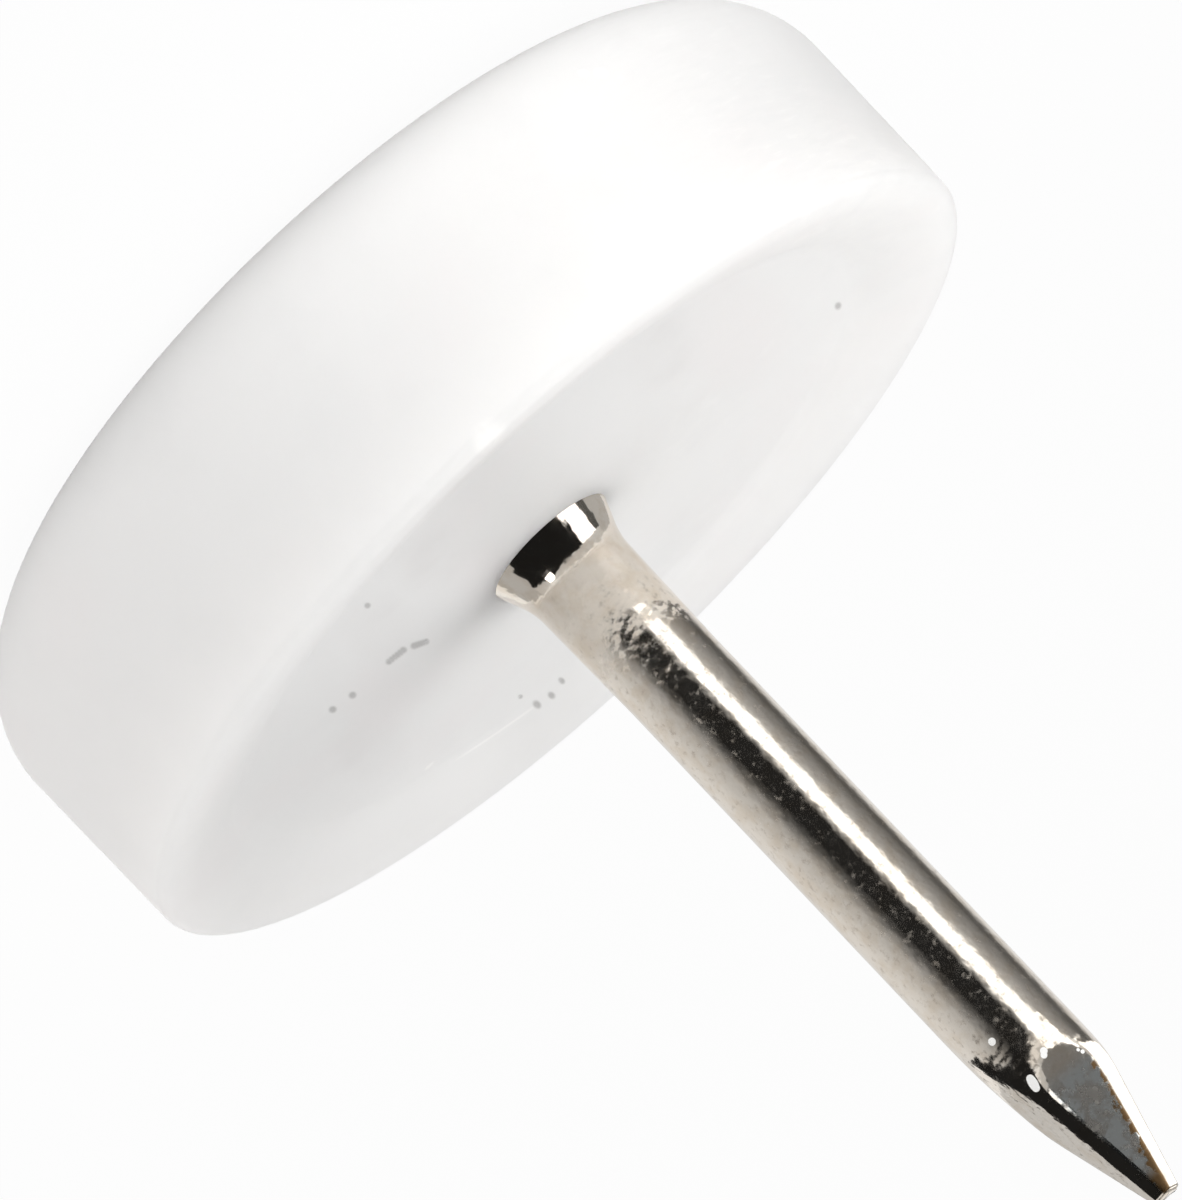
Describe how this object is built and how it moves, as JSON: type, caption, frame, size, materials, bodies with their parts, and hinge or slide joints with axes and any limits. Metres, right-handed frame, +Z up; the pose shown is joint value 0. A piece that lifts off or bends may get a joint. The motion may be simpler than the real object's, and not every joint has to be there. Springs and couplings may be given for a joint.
{
  "type": "nail-on furniture glide",
  "caption": "Round white plastic glide pad with a rounded edge, moulded on a plated steel nail that is driven into the end of a chair or table leg so that it slides on the floor.",
  "frame": {"origin": "centre of the glide face, at floor level", "axes": "+Z up along the nail, from the glide face to the tip; X and Y square to the flats of the nail's point"},
  "size_m": [0.0202, 0.0202, 0.0225],
  "materials": {
    "pad_plastic": "satin white moulded plastic, slightly translucent",
    "nail_steel": "bright plated steel with fine pits"
  },
  "bodies": {
    "root": {"glide_pad": "pad_plastic", "nail": "nail_steel"}
  },
  "joints": []
}
